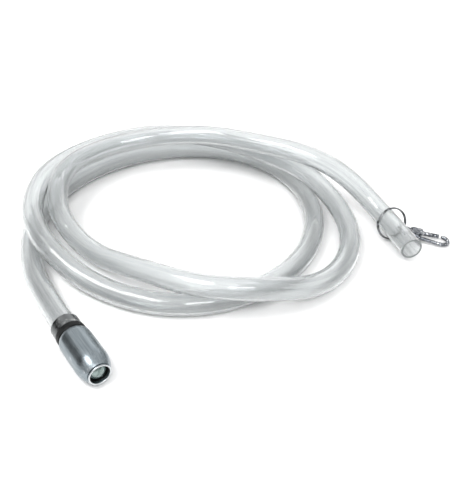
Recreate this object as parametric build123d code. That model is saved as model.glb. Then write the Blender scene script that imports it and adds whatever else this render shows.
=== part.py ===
"""Self-priming siphon hose: a clear hose with a ball-valve head on its inlet and a split ring with a snap hook near
its outlet. Millimetres, +Z up, lying on the plane Z = 0. The valve head lies along Y with its nose towards -Y, and the
origin is below the middle of the head."""

import math
import os

from build123d import *

# ---- driving dimensions ----------------------------------------------------------------------------------------
HOSE_R = 8.0  # outside radius of the hose
HOSE_BORE_R = 6.5

HEAD_LENGTH = 51.0  # nose lip to the ferrule's rear edge
SHELL_R = 10.6
SHELL_WALL = 0.9
SHELL_LENGTH = 37.0
SHOULDER_LENGTH = 12.0  # of the rounded nose
SHOULDER_ARC_R = 18.7
LIP_R = 7.3
INLET_R = 6.2
BALL_R = 7.5
BALL_REST = 8.41  # nose lip to the ball's centre on its seat
SEALING_RING_LENGTH = 5.0
SEALING_RING_R = 9.8
FERRULE_R = 9.4
HOSE_FIT_GAP = 0.02  # between the hose and the sleeves round it

HOSE_START = 31.0  # nose lip to the hose's end on the tail's shoulder
TAIL_START = 26.0
TAIL_END = 48.5
TAIL_R = 6.3
TAIL_BORE_R = 4.6
BARB_R = 6.65
BARB_PITCH = 4.5
BARB_COUNT = 3
STOP_START = 24.0

RING_R = 12.1  # middle of the split ring's wire
RING_WIRE_R = 0.6
RING_PITCH = 1.27  # from one turn of the ring to the next
RING_CENTRE = (251.9, -19.0, 12.25)
RING_NORMAL = (-0.25, -0.893, 0.375)
EYE_ANGLE = -35.0  # where the hook hangs on the ring, from the ring's right side, in degrees
EYE_OFFSET = 1.75  # ring wire to the middle of the hook's eye

HOOK_NOSE = (281.6, -51.0, 1.7)  # middle of the hook's far end
EYE_R = 4.4
EYE_BAR_R = 1.1
HOOK_BAR_R = 1.5
HOOK_LENGTH = 32.6  # eye centre to the middle of the bar at the nose
NOSE_TIP = (29.2, 3.2)
LUG_THICKNESS = 0.85
LUG_GAP = 3.4  # between the two lugs
PIVOT = (9.2, 1.2)  # of the gate, in the hook's own plane
PIN_R = 0.8
PIN_CLEARANCE = 0.06
GATE_WIDTH = 3.2
GATE_THICKNESS = 2.8
GATE_TIP = (25.9, 3.0)

# The line of the hose from the valve head to its open end: two and a half loose turns that cross over each other, so
# the height of each point says which turn lies on top there.
HOSE_ROUTE = [
    (0, HOSE_START - HEAD_LENGTH / 2, SHELL_R),
    (0, 47, SHELL_R),
    (4, 93, 8),
    (23, 144, 8),
    (61, 186, 8),
    (115, 206, 8),
    (172, 200, 8),
    (220, 168, 8),
    (242, 118, 8),
    (236, 64, 8),
    (208, 17, 8),
    (162, -14, 8),
    (105, -18, 8),
    (58, 8, 8),
    (30, 56, 8),
    (17, 105, 23),
    (29, 154, 25),
    (62, 198, 25),
    (121, 220, 22),
    (173, 206, 24),
    (210, 162, 25),
    (228, 112, 25.5),
    (236, 59, 26),
    (231, 9, 12.5),
    (202, -27, 8),
    (158, -42, 9.5),
    (112, -34, 25),
    (79, -8, 26.5),
    (60, 36, 21),
    (46, 90, 8),
    (41, 136, 23),
    (68, 179, 32.5),
    (113, 195, 31),
    (161, 179, 34.5),
    (196, 145, 39),
    (216, 101, 42),
    (235, 61, 43),
    (249.5, 31, 32.5),
    (255.5, -10.5, 11.2),
    (237.5, -51, 13.2),
]

# ---- helpers -----------------------------------------------------------------------------------------------------
# The head's parts are drawn as half profiles: x is the radius, y the distance from the nose lip.
HEAD_PLANE = Plane(origin=(0, -HEAD_LENGTH / 2, SHELL_R), x_dir=(1, 0, 0), z_dir=(0, 0, 1))


def turned(*edges):
    """A part of the valve head, turned about the head's axis from the edges of its closed half profile."""
    profile = HEAD_PLANE * make_face(Curve() + list(edges))
    return revolve(profile, Axis((0, 0, SHELL_R), (0, 1, 0)))


def closed(points):
    """The edges of a closed polygon."""
    return Polyline(*points, close=True).edges()


def arc_depth(radius, reach):
    """How far an arc of this radius drops from its tangent, this far along the tangent."""
    return radius - math.sqrt(radius**2 - reach**2)


def corner_radii(points):
    """The radius of each corner of a route, as large as its two runs allow."""
    radii = []
    for before, corner, after in zip(points, points[1:], points[2:]):
        run_in = Vector(corner) - Vector(before)
        run_out = Vector(after) - Vector(corner)
        half_turn = math.radians(run_in.get_angle(run_out)) / 2
        radii.append(0.45 * min(run_in.length, run_out.length) / math.tan(half_turn))
    return radii


# ---- hose --------------------------------------------------------------------------------------------------------
def hose_path():
    return FilletPolyline(*HOSE_ROUTE, radius=corner_radii(HOSE_ROUTE))


def hose():
    path = hose_path()
    start = Plane(origin=path @ 0, z_dir=path % 0)
    outside = sweep(start * Circle(HOSE_R), path=path)
    bore = sweep(start * Circle(HOSE_BORE_R), path=path)
    return outside - bore


# ---- valve head --------------------------------------------------------------------------------------------------
def valve_shell():
    inner_r = SHELL_R - SHELL_WALL
    inner_arc_r = SHOULDER_ARC_R - SHELL_WALL
    neck = 1.6
    neck_r = LIP_R - 0.5
    seat_start = 2.2
    rolled = 4.0
    rolled_drop = 1.1
    rolled_arc_r = (rolled**2 + rolled_drop**2) / (2 * rolled_drop)
    rear_wall = 1.0
    shoulder_r = SHELL_R - arc_depth(SHOULDER_ARC_R, SHOULDER_LENGTH - neck)
    shoulder_mid = (SHOULDER_LENGTH + neck) / 2
    shoulder_mid_r = SHELL_R - arc_depth(SHOULDER_ARC_R, SHOULDER_LENGTH - shoulder_mid)
    seat_r = inner_r - arc_depth(inner_arc_r, SHOULDER_LENGTH - seat_start)
    seat_mid = (SHOULDER_LENGTH + seat_start) / 2
    seat_mid_r = inner_r - arc_depth(inner_arc_r, SHOULDER_LENGTH - seat_mid)
    straight_end = SHELL_LENGTH - rolled
    rolled_mid = straight_end + rolled / 2
    rolled_mid_r = SHELL_R - arc_depth(rolled_arc_r, rolled / 2)
    hose_hole_r = HOSE_R + HOSE_FIT_GAP
    inner_end = SHELL_LENGTH - rear_wall
    lip_half = (LIP_R - INLET_R) / 2
    return turned(
        ThreePointArc((INLET_R, lip_half), (INLET_R + lip_half, 0), (LIP_R, lip_half)),
        ThreePointArc((LIP_R, lip_half), (neck_r + 0.35, neck - 0.45), (neck_r, neck)),
        Line((neck_r, neck), (shoulder_r, neck)),
        ThreePointArc((shoulder_r, neck), (shoulder_mid_r, shoulder_mid), (SHELL_R, SHOULDER_LENGTH)),
        Line((SHELL_R, SHOULDER_LENGTH), (SHELL_R, straight_end)),
        ThreePointArc(
            (SHELL_R, straight_end),
            (rolled_mid_r, rolled_mid),
            (SHELL_R - rolled_drop, SHELL_LENGTH),
        ),
        Line((SHELL_R - rolled_drop, SHELL_LENGTH), (hose_hole_r, SHELL_LENGTH)),
        Line((hose_hole_r, SHELL_LENGTH), (hose_hole_r, inner_end)),
        Line((hose_hole_r, inner_end), (inner_r - 0.8, inner_end)),
        Line((inner_r - 0.8, inner_end), (inner_r, straight_end)),
        Line((inner_r, straight_end), (inner_r, SHOULDER_LENGTH)),
        ThreePointArc((inner_r, SHOULDER_LENGTH), (seat_mid_r, seat_mid), (seat_r, seat_start)),
        Line((seat_r, seat_start), (INLET_R, seat_start)),
        Line((INLET_R, seat_start), (INLET_R, lip_half)),
    )


def seat_ring():
    """The rubber ring inside the nose that the ball closes on."""
    return turned(*closed([(6.0, 2.22), (6.7, 2.22), (8.25, 5.2), (7.3, 5.2), (6.0, 3.4)]))


def valve_ball():
    return Pos(0, BALL_REST - HEAD_LENGTH / 2, SHELL_R) * Sphere(BALL_R)


def ball_stop():
    """A pressed star that keeps the ball off the tail's mouth and lets water past."""
    outer_r = SHELL_R - SHELL_WALL - 0.05
    thickness = TAIL_START - STOP_START
    arm_width = 1.6
    disc = Cylinder(outer_r, thickness) - Cylinder(outer_r - 1.3, thickness)
    hub = Cylinder(1.9, thickness)
    arm = Pos(outer_r / 2, 0, 0) * Box(outer_r - 0.6, arm_width, thickness)
    arms = [Rot(0, 0, angle) * arm for angle in (90, 210, 330)]
    star = disc + hub + arms
    middle = (STOP_START + TAIL_START) / 2 - HEAD_LENGTH / 2
    return Pos(0, middle, SHELL_R) * Rot(-90, 0, 0) * star


def hose_tail():
    """The insert behind the ball: a shoulder in the shell and a barbed tail in the hose."""
    shoulder_r = SHELL_R - SHELL_WALL - 0.05
    mouth_r = 6.6
    outline = [(TAIL_BORE_R, TAIL_START + 2.5), (mouth_r, TAIL_START), (shoulder_r, TAIL_START)]
    outline += [(shoulder_r, HOSE_START), (TAIL_R, HOSE_START)]
    for i in range(BARB_COUNT):
        foot = HOSE_START + 3.0 + i * BARB_PITCH
        outline += [(TAIL_R, foot), (BARB_R, foot), (TAIL_R, foot + 3.0)]
    outline += [(TAIL_R - 0.3, TAIL_END), (TAIL_BORE_R, TAIL_END)]
    return turned(*closed(outline))


def sealing_ring():
    """The black rubber ring between the shell and the ferrule."""
    inner_r = HOSE_R + HOSE_FIT_GAP
    start, end = SHELL_LENGTH, SHELL_LENGTH + SEALING_RING_LENGTH
    round_off = 1.2
    edge = round_off * (1 - math.sqrt(0.5))
    return turned(
        Line((inner_r, start), (SEALING_RING_R - round_off, start)),
        ThreePointArc(
            (SEALING_RING_R - round_off, start),
            (SEALING_RING_R - edge, start + edge),
            (SEALING_RING_R, start + round_off),
        ),
        Line((SEALING_RING_R, start + round_off), (SEALING_RING_R, end - round_off)),
        ThreePointArc(
            (SEALING_RING_R, end - round_off),
            (SEALING_RING_R - edge, end - edge),
            (SEALING_RING_R - round_off, end),
        ),
        Line((SEALING_RING_R - round_off, end), (inner_r, end)),
        Line((inner_r, end), (inner_r, start)),
    )


def ferrule():
    """The dark collar crimped over the hose and the tail's barbs."""
    inner_r = HOSE_R + HOSE_FIT_GAP
    start, end = SHELL_LENGTH + SEALING_RING_LENGTH, HEAD_LENGTH
    bevel = 0.9
    outline = [(inner_r, start), (FERRULE_R, start), (FERRULE_R, end - bevel), (FERRULE_R - 0.3, end - 0.3)]
    outline += [(FERRULE_R - bevel, end), (inner_r, end)]
    return turned(*closed(outline))


# ---- ring and snap hook ------------------------------------------------------------------------------------------
def ring_plane():
    normal = Vector(*RING_NORMAL).normalized()
    right = normal.cross(Vector(0, 0, -1)).normalized()
    return Plane(origin=RING_CENTRE, x_dir=right, z_dir=normal)


def hose_through_ring():
    """Where the hose's middle line passes the ring's plane, and its direction there."""
    path = hose_path()
    steps = [i / 1000 for i in range(970, 1001)]
    crossing = min(steps, key=lambda t: abs((path @ t - Vector(*RING_CENTRE)).dot(ring_plane().z_dir)))
    return path @ crossing, path % crossing


def split_ring():
    """Two turns of spring wire side by side."""
    helix = Helix(pitch=RING_PITCH, height=2 * RING_PITCH, radius=RING_R)
    section = Plane(origin=helix @ 0, z_dir=helix % 0) * Circle(RING_WIRE_R)
    coil = sweep(section, path=helix, is_frenet=True)
    return ring_plane() * Rot(0, 0, 160) * Pos(0, 0, -RING_PITCH) * coil


def hook_pivot():
    """The point of the ring's wire that the hook hangs on."""
    angle = math.radians(EYE_ANGLE)
    return ring_plane().from_local_coords(Vector(RING_R * math.cos(angle), RING_R * math.sin(angle), 0))


def hook_plane():
    """The hook's own plane: x from its eye to its nose, y towards the gate's side, z up."""
    along = (Vector(*HOOK_NOSE) - hook_pivot()).normalized()
    across = Vector(0, 0, 1).cross(along).normalized()
    return Plane(origin=hook_pivot() + along * EYE_OFFSET, x_dir=along, z_dir=along.cross(across))


def hook_frame():
    half_depth = LUG_GAP / 2 + LUG_THICKNESS
    eye = Torus(EYE_R, EYE_BAR_R)
    neck = Pos(5.2, 0, 0) * Box(3.0, 5.6, 2 * half_depth)
    lug_outline = Pos(9.0, 0.1, 0) * RectangleRounded(8.6, 7.6, 1.6)
    lugs = [
        Pos(0, 0, side * (LUG_GAP + LUG_THICKNESS) / 2) * extrude(lug_outline, LUG_THICKNESS / 2, both=True)
        for side in (-1, 1)
    ]
    spine = FilletPolyline(
        (5.0, -2.4, 0),
        (11.5, -5.9, 0),
        (28.0, -7.2, 0),
        (HOOK_LENGTH + 0.6, -4.6, 0),
        (HOOK_LENGTH, 1.7, 0),
        (NOSE_TIP[0], NOSE_TIP[1], 0),
        radius=[6.0, 5.0, 3.4, 2.2],
    )
    bar = sweep(Plane(origin=spine @ 0, z_dir=spine % 0) * Circle(HOOK_BAR_R), path=spine)
    tip = Pos(NOSE_TIP[0], NOSE_TIP[1], 0) * Sphere(HOOK_BAR_R)
    pin_hole = Pos(*PIVOT, 0) * Cylinder(PIN_R, 4 * half_depth)
    return hook_plane() * (eye + neck + lugs + bar + tip - pin_hole)


def gate_pin():
    half_depth = LUG_GAP / 2 + LUG_THICKNESS
    pin = Cylinder(PIN_R, 2 * half_depth)
    heads = [Pos(0, 0, side * (half_depth + 0.2)) * Cylinder(1.4, 0.4) for side in (-1, 1)]
    return hook_plane() * Pos(*PIVOT, 0) * (pin + heads)


def hook_gate():
    run = Vector(*GATE_TIP) - Vector(*PIVOT)
    start = Plane(origin=(*PIVOT, 0), x_dir=(0, 0, 1), z_dir=run)
    bar = extrude(start * RectangleRounded(GATE_THICKNESS, GATE_WIDTH, 0.9), run.length)
    knuckle = Pos(*PIVOT, -0.6) * Cylinder(1.9, 1.4)
    slot = Pos(*PIVOT, 0.9) * Cylinder(2.6, 1.6)
    hole = Pos(*PIVOT, 0) * Cylinder(PIN_R + PIN_CLEARANCE, 8)
    return hook_plane() * (knuckle + bar - slot - hole)


def gate_spring():
    """The small torsion spring beside the gate's knuckle."""
    wire_r = 0.2
    helix = Helix(pitch=0.45, height=0.68, radius=1.35)
    coil = sweep(Plane(origin=helix @ 0, z_dir=helix % 0) * Circle(wire_r), path=helix, is_frenet=True)
    return hook_plane() * Pos(*PIVOT, 0.4) * coil


PARTS = {
    "hose": hose,
    "valve_shell": valve_shell,
    "seat_ring": seat_ring,
    "valve_ball": valve_ball,
    "ball_stop": ball_stop,
    "hose_tail": hose_tail,
    "sealing_ring": sealing_ring,
    "ferrule": ferrule,
    "split_ring": split_ring,
    "hook_frame": hook_frame,
    "gate_pin": gate_pin,
    "hook_gate": hook_gate,
    "gate_spring": gate_spring,
}

os.makedirs("parts", exist_ok=True)
for name, make in PARTS.items():
    shape = make()
    export_step(shape, f"parts/{name}.step")
    if name == "hose":
        path = hose_path()
        expected = math.pi * (HOSE_R**2 - HOSE_BORE_R**2) * path.length
        print("hose length", round(path.length, 1), "volume", round(shape.volume), "expected", round(expected))
        print("hose bend radii", [round(radius) for radius in corner_radii(HOSE_ROUTE)])

print("ring hinge: point and axis", *hose_through_ring())
wire_tangent = ring_plane().z_dir.cross(hook_pivot() - Vector(*RING_CENTRE)).normalized()
print("hook pivot", hook_pivot(), "along the ring's wire", wire_tangent)
print("gate pivot", hook_plane().from_local_coords(Vector(*PIVOT, 0)), "along its pin", hook_plane().z_dir)
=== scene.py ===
import math

import bpy
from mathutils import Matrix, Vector


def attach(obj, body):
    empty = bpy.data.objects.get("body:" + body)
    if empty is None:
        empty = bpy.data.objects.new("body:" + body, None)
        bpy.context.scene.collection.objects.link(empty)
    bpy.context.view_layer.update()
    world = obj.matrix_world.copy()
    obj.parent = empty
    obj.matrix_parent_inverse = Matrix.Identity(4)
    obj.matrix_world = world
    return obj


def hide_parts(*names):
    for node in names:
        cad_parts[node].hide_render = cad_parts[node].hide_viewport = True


MM = 0.001

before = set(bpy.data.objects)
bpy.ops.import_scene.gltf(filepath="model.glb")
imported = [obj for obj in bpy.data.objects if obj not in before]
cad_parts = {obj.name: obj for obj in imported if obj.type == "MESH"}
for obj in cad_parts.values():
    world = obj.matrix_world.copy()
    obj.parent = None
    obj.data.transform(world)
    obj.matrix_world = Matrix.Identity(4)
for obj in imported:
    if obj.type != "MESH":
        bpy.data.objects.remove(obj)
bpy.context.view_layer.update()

# ---- measures, in metres ---------------------------------------------------------------------------------
HOSE_R = 8.0 * MM
HOSE_BORE_R = 6.5 * MM
HOSE_SIDES = 48  # points in each ring of the hose's mesh
HOSE_STEPS = 10  # rings for each control point

# The control points of the hose's line, from the valve head to the open end, in millimetres. They repeat the
# CAD hose's, except that the last but one lies 1 mm further out, to clear the hook's eye when the ring is up.
HOSE_ROUTE = [
    (0, 5.5, 10.6),
    (0, 47, 10.6),
    (4, 93, 8),
    (23, 144, 8),
    (61, 186, 8),
    (115, 206, 8),
    (172, 200, 8),
    (220, 168, 8),
    (242, 118, 8),
    (236, 64, 8),
    (208, 17, 8),
    (162, -14, 8),
    (105, -18, 8),
    (58, 8, 8),
    (30, 56, 8),
    (17, 105, 23),
    (29, 154, 25),
    (62, 198, 25),
    (121, 220, 22),
    (173, 206, 24),
    (210, 162, 25),
    (228, 112, 25.5),
    (236, 59, 26),
    (231, 9, 12.5),
    (202, -27, 8),
    (158, -42, 9.5),
    (112, -34, 25),
    (79, -8, 26.5),
    (60, 36, 21),
    (46, 90, 8),
    (41, 136, 23),
    (68, 179, 32.5),
    (113, 195, 31),
    (161, 179, 34.5),
    (196, 145, 39),
    (216, 101, 42),
    (235, 61, 43),
    (249.5, 31, 32.5),
    (256.1, -10.5, 10.4),
    (237.5, -51, 13.2),
]

LIP_START, LIP_END = -0.0248, -0.0256  # along Y: where the shell's satin ends and its bare lip, painted lighter as a painted highlight, begins

# ---- shades, as linear brightness of red, green and blue -------------------------------------------------
HOSE_SHADE = (0.74, 0.762, 0.768)
HOSE_TINT = (0.9, 0.917, 0.92)
HOSE_TRANSMISSION = 0.88
CUT_DARK = (0.24, 0.26, 0.265)
CUT_LIGHT = (0.40, 0.42, 0.425)
CUT_TRANSMISSION = 0.55
VINYL_IOR = 1.5
SHELL_DARK = (0.155, 0.183, 0.202)
SHELL_LIGHT = (0.33, 0.37, 0.392)
SHELL_SCRATCH = (0.6, 0.62, 0.64)
SHELL_LIP_HIGHLIGHT = (0.62, 0.64, 0.65)
INNER_DARK = (0.42, 0.43, 0.44)
INNER_LIGHT = (0.6, 0.6, 0.61)
FERRULE_DARK = (0.04, 0.045, 0.047)
FERRULE_LIGHT = (0.26, 0.27, 0.272)
FERRULE_WORN = (0.55, 0.55, 0.54)
RUBBER_DARK = (0.003, 0.0035, 0.0035)
RUBBER_DUSTY = (0.013, 0.014, 0.014)
WIRE_DARK = (0.03, 0.033, 0.036)
WIRE_LIGHT = (0.26, 0.265, 0.275)
HOOK_DARK = (0.035, 0.04, 0.05)
HOOK_LIGHT = (0.23, 0.245, 0.27)
HOOK_SCUFF = (0.75, 0.76, 0.77)
BALL_DARK = (0.07, 0.13, 0.12)
BALL_LIGHT = (0.30, 0.39, 0.37)
BALL_IOR = 1.6
FLOOR_DARK = (0.9, 0.9, 0.9)
FLOOR_LIGHT = (0.92, 0.92, 0.92)

# ---- studio and camera -----------------------------------------------------------------------------------
FLOOR_SIZE = 30
FLOOR_GAP = 0.0002  # the floor lies this far under the object
LIT_PLACE = Vector((0.12, 0.08, 0))  # the middle of the object on the floor, where the lights point
WORLD_SHADES = [(0.0, 0.34), (0.3, 0.64), (0.65, 0.88)]  # height above the horizon, as a sine, and brightness
WORLD_STRENGTH = 1.2
CARD_DIRECTION = (-0.679, 0.646, 0.349)  # towards a dark card, which the valve head reflects as a dark streak
CARD_EDGE = (0.84, 0.95)  # cosines of the angle to that direction: outside the card, and fully on it
CARD_SHADE = 0.02
BACKDROP_SHADE = 0.8  # what the camera itself sees above the floor
CAMERA_PLACE = Vector((-75.2, -258.6, 276.0)) * MM
CAMERA_HEADING = math.radians(35.8)  # from +Y towards +X
CAMERA_PITCH = math.radians(37.0)  # downwards
CAMERA_LENS = 43.0
CAMERA_SENSOR = 36
CAMERA_CLIP = 0.01

MIX_A, MIX_B, MIX_COLOUR = 6, 7, 2  # a colour Mix node's two colour inputs and its colour output


# ---- building helpers ------------------------------------------------------------------------------------
def nurbs_points(route):
    """The points along the smooth NURBS line of a route."""
    curve = bpy.data.curves.new("route", "CURVE")
    curve.dimensions = "3D"
    curve.resolution_u = HOSE_STEPS
    spline = curve.splines.new("NURBS")
    spline.points.add(len(route) - 1)
    for point, place in zip(spline.points, route):
        point.co = (*place, 1)
    spline.order_u = 3
    spline.use_endpoint_u = True
    line = bpy.data.objects.new("route", curve)
    bpy.context.scene.collection.objects.link(line)
    bpy.context.view_layer.update()
    mesh = bpy.data.meshes.new_from_object(line)
    points = [vertex.co.copy() for vertex in mesh.vertices]
    bpy.data.objects.remove(line)
    bpy.data.curves.remove(curve)
    bpy.data.meshes.remove(mesh)
    return points


def frames_along(points):
    """A frame (side, up) at each point of a line, turned no more than the line itself turns."""
    count = len(points)
    tangents = [(points[min(i + 1, count - 1)] - points[max(i - 1, 0)]).normalized() for i in range(count)]
    side = tangents[0].orthogonal().normalized()
    frames = []
    for i, tangent in enumerate(tangents):
        if i:
            side = tangents[i - 1].rotation_difference(tangent) @ side
        side = (side - tangent * side.dot(tangent)).normalized()
        frames.append((side, tangent.cross(side)))
    return frames


def new_piece(name, verts, faces):
    """A smooth-shaded object with this mesh."""
    mesh = bpy.data.meshes.new(name)
    mesh.from_pydata(verts, [], faces)
    mesh.polygons.foreach_set("use_smooth", [True] * len(mesh.polygons))
    mesh.update()
    piece = bpy.data.objects.new(name, mesh)
    bpy.context.scene.collection.objects.link(piece)
    return piece


def ring_faces(first, second):
    """The quads between two of the hose's rings of points, by the number of each ring."""
    a, b, count = first * HOSE_SIDES, second * HOSE_SIDES, HOSE_SIDES
    return [(a + i, a + (i + 1) % count, b + (i + 1) % count, b + i) for i in range(count)]


def turned_over(faces):
    return [face[::-1] for face in faces]


# ---- hose ------------------------------------------------------------------------------------------------
def make_hose():
    """The clear hose: an outer and an inner wall, closed by a cut face at each end."""
    line = nurbs_points([Vector(p) * MM for p in HOSE_ROUTE])
    reach = [0.0]
    for before, after in zip(line, line[1:]):
        reach.append(reach[-1] + (after - before).length)
    verts, places = [], []
    for radius in (HOSE_R, HOSE_BORE_R):
        for point, (side, up), along in zip(line, frames_along(line), reach):
            for i in range(HOSE_SIDES):
                turn = 2 * math.pi * i / HOSE_SIDES
                verts.append(point + radius * (math.cos(turn) * side + math.sin(turn) * up))
                places.append((turn, along))
    rings, faces = len(line), []
    for i in range(rings - 1):
        faces += ring_faces(i, i + 1)
        faces += turned_over(ring_faces(rings + i, rings + i + 1))
    walls = len(faces)
    faces += turned_over(ring_faces(0, rings))
    faces += ring_faces(rings - 1, 2 * rings - 1)
    piece = new_piece("hose_clear", verts, faces)
    add_streak_place(piece.data, places)
    finish_cut_faces(piece.data, walls)
    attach(piece, "hose_and_head")
    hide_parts("hose")
    return piece


def finish_cut_faces(mesh, first):
    """Gives the faces from this one on the second material and sharp edges."""
    sharp = set()
    for polygon in mesh.polygons[first:]:
        polygon.material_index = 1
        sharp.update(polygon.edge_keys)
    for edge in mesh.edges:
        edge.use_edge_sharp = edge.key in sharp


def add_streak_place(mesh, places):
    """A place for each point, slow along the hose and fast round it, for marks drawn out lengthwise."""
    attribute = mesh.attributes.new("streak_place", "FLOAT_VECTOR", "POINT")
    for item, (turn, along) in zip(attribute.data, places):
        item.vector = (math.cos(turn), math.sin(turn), along)


# ---- materials -------------------------------------------------------------------------------------------
class Look:
    """A procedural material: a Principled shader and the noise and bumps that feed it."""

    def __init__(self, name, roughness, metallic=0.0):
        self.material = bpy.data.materials.new(name)
        self.material.use_nodes = True
        self.nodes = self.material.node_tree.nodes
        self.links = self.material.node_tree.links
        self.shader = self.nodes["Principled BSDF"]
        self.set("Roughness", roughness)
        self.set("Metallic", metallic)
        self.bump = None
        self.place = self.nodes.new("ShaderNodeTexCoord").outputs["Object"]

    def set(self, socket, value):
        self.shader.inputs[socket].default_value = value

    def feed(self, socket, output):
        self.links.new(output, self.shader.inputs[socket])

    def read_place(self, attribute):
        """Takes the places for the noise from an attribute of the mesh."""
        node = self.nodes.new("ShaderNodeAttribute")
        node.attribute_name = attribute
        self.place = node.outputs["Vector"]

    def noise(self, scale, stretch=(1, 1, 1), detail=4.0, distortion=0.0):
        """Noise between 0 and 1. An axis with less stretch has longer marks."""
        mapping = self.nodes.new("ShaderNodeMapping")
        mapping.inputs["Scale"].default_value = stretch
        self.links.new(self.place, mapping.inputs["Vector"])
        node = self.nodes.new("ShaderNodeTexNoise")
        node.inputs["Scale"].default_value = scale
        node.inputs["Detail"].default_value = detail
        node.inputs["Distortion"].default_value = distortion
        self.links.new(mapping.outputs["Vector"], node.inputs["Vector"])
        return node.outputs["Fac"]

    def height_along(self, axis):
        """The place along one axis, in metres."""
        node = self.nodes.new("ShaderNodeSeparateXYZ")
        self.links.new(self.place, node.inputs["Vector"])
        return node.outputs[axis]

    def spread(self, value, low, high, start=0.0, end=1.0):
        """The value between low and high, stretched to run from start to end."""
        node = self.nodes.new("ShaderNodeMapRange")
        for name, number in (("From Min", low), ("From Max", high), ("To Min", start), ("To Max", end)):
            node.inputs[name].default_value = number
        self.links.new(value, node.inputs["Value"])
        return node.outputs["Result"]

    def times(self, first, second):
        node = self.nodes.new("ShaderNodeMath")
        node.operation = "MULTIPLY"
        self.links.new(first, node.inputs[0])
        self.links.new(second, node.inputs[1])
        return node.outputs[0]

    def blend(self, amount, first, second):
        """A colour between two colours. The first may be another colour's output."""
        node = self.nodes.new("ShaderNodeMix")
        node.data_type = "RGBA"
        self.links.new(amount, node.inputs["Factor"])
        for slot, colour in ((MIX_A, first), (MIX_B, second)):
            if isinstance(colour, tuple):
                node.inputs[slot].default_value = (*colour, 1)
            else:
                self.links.new(colour, node.inputs[slot])
        return node.outputs[MIX_COLOUR]

    def dent(self, height, depth, strength=1.0):
        """Adds a bump of this depth, in metres, on top of those already there."""
        node = self.nodes.new("ShaderNodeBump")
        node.inputs["Distance"].default_value = depth
        node.inputs["Strength"].default_value = strength
        self.links.new(height, node.inputs["Height"])
        if self.bump:
            self.links.new(self.bump, node.inputs["Normal"])
        self.bump = node.outputs["Normal"]
        self.feed("Normal", self.bump)


def clear_hose_look():
    """Clear vinyl: a little haze, fine lines from the extrusion die and a few dull rubbed places."""
    look = Look("clear_hose", 0.05)
    look.read_place("streak_place")
    look.set("IOR", VINYL_IOR)
    look.set("Transmission Weight", HOSE_TRANSMISSION)
    lines = look.noise(2.2, stretch=(1, 1, 0.5), detail=2.0)
    look.feed("Base Color", look.blend(look.spread(lines, 0.35, 0.65), HOSE_SHADE, HOSE_TINT))
    rubbed = look.noise(1.3, stretch=(1, 1, 14), detail=5.0)
    look.feed("Roughness", look.spread(rubbed, 0.45, 0.75, 0.04, 0.14))
    look.dent(look.noise(5.0, stretch=(1, 1, 0.8), detail=1.0), 0.0005, 0.35)
    return look.material


def cut_vinyl_look():
    """The hose's sawn end: dull and a little ridged."""
    look = Look("cut_vinyl", 0.5)
    look.set("IOR", VINYL_IOR)
    look.set("Transmission Weight", CUT_TRANSMISSION)
    ridges = look.noise(900, detail=3.0)
    look.feed("Base Color", look.blend(ridges, CUT_DARK, CUT_LIGHT))
    look.dent(ridges, 0.0001, 0.6)
    return look.material


def shell_look():
    """Satin steel with fine streaks along the head, smudges, small scratches and a bare lip painted lighter,
    as a painted highlight on its rim.
    """
    look = Look("valve_steel", 0.3, metallic=1.0)
    streaks = look.noise(1400, stretch=(1, 0.035, 1), detail=3.0)
    smudges = look.noise(95, detail=4.0, distortion=0.6)
    shade = look.blend(look.spread(streaks, 0.2, 0.8), SHELL_DARK, SHELL_LIGHT)
    scratch = look.spread(look.noise(520, stretch=(1, 0.12, 0.45), detail=2.0, distortion=1.5), 0.68, 0.74)
    shade = look.blend(scratch, shade, SHELL_SCRATCH)
    # The lip is bare metal, and its lighter colour is a painted highlight on the rim.
    lip_highlight = look.spread(look.height_along("Y"), LIP_START, LIP_END)
    look.feed("Base Color", look.blend(lip_highlight, shade, SHELL_LIP_HIGHLIGHT))
    look.feed("Roughness", look.spread(smudges, 0.3, 0.75, 0.27, 0.4))
    look.dent(streaks, 0.00004, 0.35)
    look.dent(smudges, 0.0001, 0.15)
    return look.material


def inner_steel_look():
    """Plain turned steel inside the head."""
    look = Look("inner_steel", 0.3, metallic=1.0)
    rings = look.noise(900, stretch=(0.1, 1, 0.1), detail=2.0)
    look.feed("Base Color", look.blend(rings, INNER_DARK, INNER_LIGHT))
    look.feed("Roughness", look.spread(rings, 0.3, 0.7, 0.22, 0.4))
    return look.material


def ferrule_look():
    """Gunmetal plating, rubbed through to pale metal in patches of speckles."""
    look = Look("dark_ferrule", 0.3, metallic=1.0)
    speckle = look.spread(look.noise(750, detail=6.0), 0.5, 0.62)
    patch = look.spread(look.noise(120, detail=2.0), 0.48, 0.6)
    worn = look.times(speckle, patch)
    tone = look.blend(look.noise(160, stretch=(1, 0.3, 1)), FERRULE_DARK, FERRULE_LIGHT)
    look.feed("Base Color", look.blend(worn, tone, FERRULE_WORN))
    look.feed("Roughness", look.spread(look.noise(240, detail=4.0), 0.3, 0.7, 0.22, 0.45))
    look.dent(speckle, 0.00004, 0.3)
    return look.material


def rubber_look():
    """Moulded black rubber: matte, a little dusty and finely grained."""
    look = Look("black_rubber", 0.6)
    look.set("Specular IOR Level", 0.18)
    dust = look.spread(look.noise(210, detail=5.0), 0.4, 0.75)
    look.feed("Base Color", look.blend(dust, RUBBER_DARK, RUBBER_DUSTY))
    look.feed("Roughness", look.spread(dust, 0, 1, 0.42, 0.68))
    look.dent(look.noise(1500, detail=3.0), 0.00006, 0.5)
    return look.material


def wire_look():
    """Drawn spring wire with dark tarnish."""
    look = Look("ring_steel", 0.2, metallic=1.0)
    tarnish = look.noise(420, detail=5.0, distortion=0.8)
    look.feed("Base Color", look.blend(look.spread(tarnish, 0.38, 0.62), WIRE_DARK, WIRE_LIGHT))
    look.feed("Roughness", look.spread(tarnish, 0.3, 0.7, 0.14, 0.36))
    look.dent(look.noise(1600, detail=2.0), 0.00005, 0.5)
    return look.material


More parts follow.
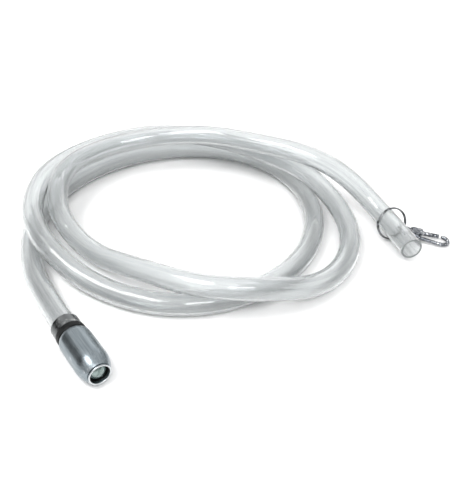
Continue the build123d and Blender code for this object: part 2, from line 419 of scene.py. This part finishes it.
def hook_look():
    """Polished cast steel: wavy under the polish, with darker places and small pale scuffs."""
    look = Look("hook_steel", 0.25, metallic=1.0)
    waves = look.noise(330, detail=3.0, distortion=0.5)
    scuffs = look.spread(look.noise(900, detail=4.0), 0.55, 0.62)
    shade = look.blend(look.spread(waves, 0.36, 0.64), HOOK_DARK, HOOK_LIGHT)
    look.feed("Base Color", look.blend(scuffs, shade, HOOK_SCUFF))
    look.feed("Roughness", look.spread(waves, 0.3, 0.7, 0.1, 0.3))
    look.dent(waves, 0.0004, 0.6)
    return look.material


def ball_look():
    """Bottle-green glass with faint swirls and a few scuffs from rolling."""
    look = Look("ball_glass", 0.1, metallic=0.45)
    look.set("IOR", BALL_IOR)
    look.set("Transmission Weight", 0.6)
    look.set("Coat Weight", 1.0)
    look.set("Coat Roughness", 0.06)
    swirls = look.noise(160, detail=2.0, distortion=3.0)
    look.feed("Base Color", look.blend(look.spread(swirls, 0.35, 0.65), BALL_DARK, BALL_LIGHT))
    look.feed("Roughness", look.spread(look.noise(600), 0.5, 0.75, 0.06, 0.2))
    return look.material


def dress(names, material):
    """Puts one material on the CAD pieces of these names."""
    for name in names:
        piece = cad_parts[name]
        piece.data.materials.clear()
        piece.data.materials.append(material)


hose = make_hose()
hose.data.materials.append(clear_hose_look())
hose.data.materials.append(cut_vinyl_look())
dress(["valve_shell"], shell_look())
dress(["ball_stop", "hose_tail"], inner_steel_look())
dress(["ferrule"], ferrule_look())
dress(["sealing_ring", "seat_ring"], rubber_look())
dress(["split_ring", "gate_spring"], wire_look())
dress(["hook_frame", "hook_gate", "gate_pin"], hook_look())
dress(["valve_ball"], ball_look())


# ---- floor, light and camera -----------------------------------------------------------------------------
def make_floor():
    """The plain pale floor."""
    bpy.ops.mesh.primitive_plane_add(size=FLOOR_SIZE, location=(0, 0, -FLOOR_GAP))
    floor = bpy.context.object
    floor.name = "floor"
    look = Look("floor", 0.9)
    look.set("Specular IOR Level", 0.1)
    look.feed("Base Color", look.blend(look.noise(40), FLOOR_DARK, FLOOR_LIGHT))
    floor.data.materials.append(look.material)


def make_softbox(name, heading, height, distance, size, power):
    """A wide soft light that shines on the object from a compass heading and a height above the floor."""
    turn, lift = math.radians(heading), math.radians(height)
    outward = Vector((math.sin(turn) * math.cos(lift), math.cos(turn) * math.cos(lift), math.sin(lift)))
    data = bpy.data.lights.new(name, "AREA")
    data.shape = "RECTANGLE"
    data.size, data.size_y = size
    data.energy = power
    light = bpy.data.objects.new(name, data)
    bpy.context.scene.collection.objects.link(light)
    light.location = LIT_PLACE + distance * outward
    light.rotation_mode = "QUATERNION"
    light.rotation_quaternion = (-outward).to_track_quat("-Z", "Y")


def make_world():
    """A studio greyer towards the horizon, with a dark card and a pale backdrop for the camera."""
    world = bpy.data.worlds.new("studio")
    world.use_nodes = True
    nodes, links = world.node_tree.nodes, world.node_tree.links

    def towards(amount, colour, shade):
        """The colour, turned by this amount to an even grey."""
        node = nodes.new("ShaderNodeMix")
        node.data_type = "RGBA"
        links.new(amount, node.inputs[0])
        links.new(colour, node.inputs[MIX_A])
        node.inputs[MIX_B].default_value = (shade, shade, shade, 1)
        return node.outputs[MIX_COLOUR]

    direction = nodes.new("ShaderNodeTexCoord").outputs["Generated"]
    split = nodes.new("ShaderNodeSeparateXYZ")
    links.new(direction, split.inputs["Vector"])
    ramp = nodes.new("ShaderNodeValToRGB")
    links.new(split.outputs["Z"], ramp.inputs["Fac"])
    ramp.color_ramp.elements.new(WORLD_SHADES[1][0])
    for stop, (height, shade) in zip(ramp.color_ramp.elements, WORLD_SHADES):
        stop.position = height
        stop.color = (shade, shade, shade, 1)
    facing = nodes.new("ShaderNodeVectorMath")
    facing.operation = "DOT_PRODUCT"
    links.new(direction, facing.inputs[0])
    facing.inputs[1].default_value = CARD_DIRECTION
    card = nodes.new("ShaderNodeMapRange")
    links.new(facing.outputs["Value"], card.inputs["Value"])
    card.inputs["From Min"].default_value, card.inputs["From Max"].default_value = CARD_EDGE
    studio = towards(card.outputs["Result"], ramp.outputs["Color"], CARD_SHADE)
    seen = towards(nodes.new("ShaderNodeLightPath").outputs["Is Camera Ray"], studio, BACKDROP_SHADE)
    links.new(seen, nodes["Background"].inputs["Color"])
    nodes["Background"].inputs["Strength"].default_value = WORLD_STRENGTH
    bpy.context.scene.world = world


def make_camera():
    """The camera, at the photograph's place and angle."""
    data = bpy.data.cameras.new("camera")
    data.sensor_width = CAMERA_SENSOR
    data.lens = CAMERA_LENS
    data.clip_start = CAMERA_CLIP
    camera = bpy.data.objects.new("camera", data)
    bpy.context.scene.collection.objects.link(camera)
    camera.location = CAMERA_PLACE
    level = math.cos(CAMERA_PITCH)
    ahead = Vector((
        level * math.sin(CAMERA_HEADING),
        level * math.cos(CAMERA_HEADING),
        -math.sin(CAMERA_PITCH),
    ))
    camera.rotation_mode = "QUATERNION"
    camera.rotation_quaternion = ahead.to_track_quat("-Z", "Y")
    bpy.context.scene.camera = camera


make_floor()
make_world()
make_softbox("key", heading=-86, height=62, distance=1.2, size=(0.7, 0.4), power=8)
make_softbox("back", heading=45, height=24, distance=1.4, size=(1.2, 0.5), power=2)
make_softbox("fill", heading=-162, height=48, distance=1.2, size=(0.6, 0.3), power=5)
make_camera()
bpy.context.scene.view_settings.view_transform = "Standard"
